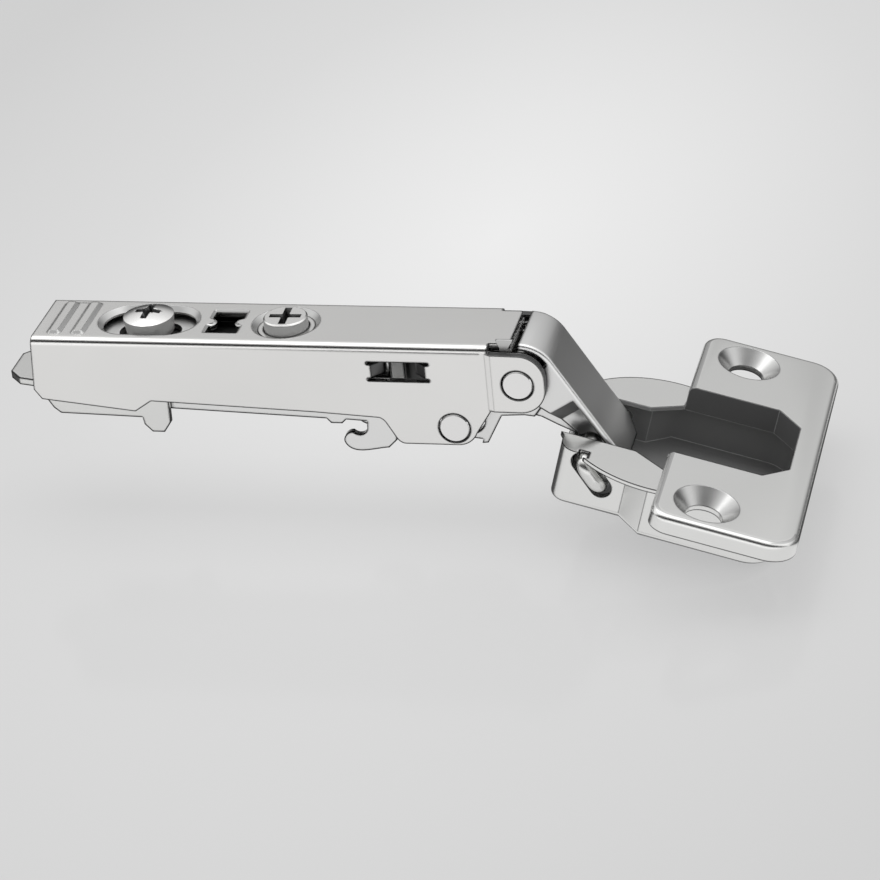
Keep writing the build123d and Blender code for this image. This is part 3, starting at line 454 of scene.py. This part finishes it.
def wound_spring(name, node, body, centre, coil, wire, span, turn, legs):
    """A helix about Y with two straight legs on its tangents.

    Each ring of the surface is centre + path + wire / 2 * (cos a * N + sin a * B), where N is
    Y x T and B is T x N for the path's direction T. The helix is (coil cos t, y, coil sin t) with
    y running over span. Sizes are in mm, coil is the helix's radius and wire the wire's diameter,
    span is where the helix starts and ends along Y, turn its first and last angle t in degrees,
    and legs the two lengths."""
    first, last = (math.radians(a) for a in turn)
    across, over = span
    angle = np.linspace(first, last, int(abs(last - first) / helix_step))
    share = (angle - first) / (last - first)
    helix = np.column_stack([coil * np.cos(angle), across + (over - across) * share, coil * np.sin(angle)])
    steps = np.linspace(1, 0, leg_points)[:-1, None]
    start = np.array([np.sin(first), 0, -np.cos(first)]) * legs[0]
    end = np.array([-np.sin(last), 0, np.cos(last)]) * legs[1]
    path = np.vstack([helix[0] + start * steps, helix, helix[-1] + end * (1 - steps)])
    path = path[np.insert(np.linalg.norm(np.diff(path, axis=0), axis=1) > 1e-6, 0, True)]
    heading = np.gradient(path, axis=0)
    heading /= np.linalg.norm(heading, axis=1)[:, None]
    out_way = np.cross((0, 1, 0), heading)
    out_way /= np.linalg.norm(out_way, axis=1)[:, None]
    side_way = np.cross(heading, out_way)
    round_wire = np.linspace(0, 2 * np.pi, wire_sides, endpoint=False)[None, :, None]
    rings = (path[:, None, :] + wire / 2 * (np.cos(round_wire) * out_way[:, None, :]
                                            + np.sin(round_wire) * side_way[:, None, :]) + centre) * mm
    count, sides = rings.shape[:2]
    i, j = np.meshgrid(np.arange(count - 1), np.arange(sides), indexing="ij")
    k = (j + 1) % sides
    quads = np.stack([i * sides + j, i * sides + k, (i + 1) * sides + k, (i + 1) * sides + j], axis=-1)
    ends = [list(range(sides)), list(range((count - 1) * sides, count * sides))]
    mesh = bpy.data.meshes.new(name)
    mesh.from_pydata(rings.reshape(-1, 3).tolist(), [], quads.reshape(-1, 4).tolist() + ends)
    work = bmesh.new()
    work.from_mesh(mesh)
    bmesh.ops.recalc_face_normals(work, faces=work.faces)
    work.to_mesh(mesh)
    work.free()
    mesh.shade_smooth()
    mesh.set_sharp_from_angle(angle=wire_end_turn)
    mesh.materials.append(shaded_spring_wire)
    piece = bpy.data.objects.new(name, mesh)
    bpy.context.scene.collection.objects.link(piece)
    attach(piece, body)
    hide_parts(node)
    plain(node, shaded_spring_wire)
    return piece


# The wire is painted dark grey as painted shade, for the coil that sits in the dark gap under the arm's tab;
# the lever's coil and the screw clip take the same finish.
shaded_spring_wire = nickel("shaded_spring_wire", (0.24, 0.24, 0.235), 0.22, streak=0.02, edge=0.05)
wound_spring("closing_coil", "closing_spring", "arm", joint_places["outer_link_turn"],
             coil=3.1, wire=1.06, span=(-4.02, 4.02), turn=(0, 85.1 + 360 * 7), legs=(3.5, 12.0))
wound_spring("lever_coil", "lever_spring", "release_lever", joint_places["lever_turn"],
             coil=2.15, wire=0.76, span=(-0.9, 0.9), turn=(150 - 360 * 2, 98.9), legs=(2.8, 11.8))

# Small turned and stamped steel pieces: the ring nut round the side screw, the spring clip that
# holds that screw in the slide plate, the ring on the depth screw under the carrier, the lever's
# pin, and the sleeve on each rivet that keeps two walls apart.
for small_piece, finish in (("side_screw_nut", arm_nickel), ("side_screw_clip", shaded_spring_wire),
                            ("depth_screw_ring", screw_nickel), ("lever_pin", rivet_steel),
                            ("front_spacer", rivet_steel), ("lower_spacer", rivet_steel)):
    plain(small_piece, finish)

# Links: the outer one is a folded channel whose back shows between arm and cup, and the inner
# one an arched channel under it that closes the linkage. Both are pressed from plated sheet.
link_nickel = nickel("link_nickel", (0.70, 0.70, 0.695), 0.27)
link_shade = nickel("link_shade", (0.20, 0.20, 0.20), 0.40, edge=0.2, line=0.4)


def link_step(middles, normals):
    """The slope of the step in each wall, which faces down and away from the light."""
    return (np.abs(normals[:, 1]) > 0.3) & (np.abs(normals[:, 1]) < 0.985) & (normals[:, 2] < -0.1)


dressed("outer_link", "outer_link", (link_nickel, link_shade), link_step)
dressed("inner_link", "inner_link", (link_nickel,))

# Front bracket: a bright strip of spring steel under the arm's tab, whose two ears stand in the
# notches beside it. One leg of the closing spring pushes against it.
bracket_steel = nickel("bracket_steel", (0.96, 0.96, 0.955), 0.17, edge=0.25)


def bracket_sides(middles, normals):
    """The strip's sides, painted darker than the faces that look up, as painted shade."""
    return normals[:, 2] < 0.6


dressed("front_bracket", "arm", (bracket_steel, painted_slope_shade), bracket_sides)

# Hinge cup: drawn from one sheet of plated steel, with a turned-down flange that two countersunk screws hold to
# the door, a rim plate on each side and a deep box. It is dull inside and below, and painted dark there as
# painted shade, darkest in the mouth, with lighter painted lines along the inner edges as painted highlight;
# the countersinks' cones and the flange's bend are painted a darker grey as painted shade, and it is brightly
# plated elsewhere.
cup_nickel = nickel("cup_nickel", (0.73, 0.73, 0.72), 0.21, edge=0.42, line=0.03)
cup_inside_shade = nickel("cup_inside_shade", (0.26, 0.26, 0.26), 0.34, streak=0.08, metallic=0.0, edge=0.25, line=0.55)
cup_mouth_shade = nickel("cup_mouth_shade", (0.095, 0.095, 0.095), 0.34, streak=0.08, metallic=0.0, edge=0.25, line=0.4)
sink_shade_nickel = nickel("sink_shade_nickel", (0.50, 0.50, 0.495), 0.20, edge=0.2, line=0.2)
cup_tilt = math.radians(15.4)
cup_station, cup_drop = 99.73, 14.72
cup_middle = np.array([arm_start + cup_station, 0, top_height - cup_drop])
hole_offset = (9.5, 22.5)
cup_along = np.array([math.cos(cup_tilt), 0, -math.sin(cup_tilt)])
cup_up = np.array([math.sin(cup_tilt), 0, math.cos(cup_tilt)])
box_start, box_end, box_floor, box_top = -13.7, 20.3, -12.3, -4.2
box_narrow, widen_from, widen_by = 11.0, -3.9, 3.6
mouth_start, mouth_end, mouth_half, mouth_top = 1.0, 20.1, 11.6, -0.2
gap_start, gap_top = -12.0, -3.7
gap_narrow, flare_from, flare_run, flare = 7.1, -3.3, 5, 0.68
underside = -8
sink_reach = 5.1
bend_outside = 12


def inside_cup(middles, normals):
    """3 on faces that look into the mouth and 1 on those that look into the box or down, both painted dark as
    painted shade.

    A point just off each face tells whether it looks into a hollow."""
    off = middles + 0.4 * normals - cup_middle
    along, across, up = off @ cup_along, np.abs(off[:, 1]), off @ cup_up
    box_half = box_narrow + np.clip(along - widen_from, 0, widen_by)
    gap_half = gap_narrow + np.clip(along - flare_from, 0, flare_run) * flare
    box = (along > box_start) & (along < box_end) & (up > box_floor) & (up < box_top)
    mouth = (along > mouth_start) & (along < mouth_end) & (up > box_top) & (up < mouth_top)
    gap = (along > gap_start) & (along <= mouth_start) & (up > box_floor) & (up < gap_top)
    below = (normals @ cup_up < -0.35) & (up < underside)
    hollow = (box & (across < box_half)) | (gap & (across < gap_half))
    return np.where(mouth & (across < mouth_half), 3, np.where(below | hollow, 1, 0))


def cup_faces(middles, normals):
    """2 for the two countersinks' cones and the flange's bend, painted a darker grey as painted shade, and
    inside_cup elsewhere.
    """
    off = middles - cup_middle
    along, across, slope = off @ cup_along, np.abs(off[:, 1]), normals @ cup_up
    to_screw = np.hypot(along - hole_offset[0], across - hole_offset[1])
    cone = (to_screw < sink_reach) & (slope > 0.4) & (slope < 0.9)
    bend = (along > 0) & (across > bend_outside) & (slope > 0.86) & (slope < 0.985)
    return np.where(cone | bend, 2, inside_cup(middles, normals))


cup_finishes = (cup_nickel, cup_inside_shade, sink_shade_nickel, cup_mouth_shade)
dressed("hinge_cup", "cup", cup_finishes, cup_faces)

# Cup pin: one bright steel wire bent like a hairpin and pushed through the cup's walls. Its two
# legs are the links' pivots, and its bend shows in the window of the near wall.
pin_steel = nickel("pin_steel", (0.66, 0.66, 0.65), 0.26, streak=0.02, edge=0.2)
plain("cup_pin", pin_steel)
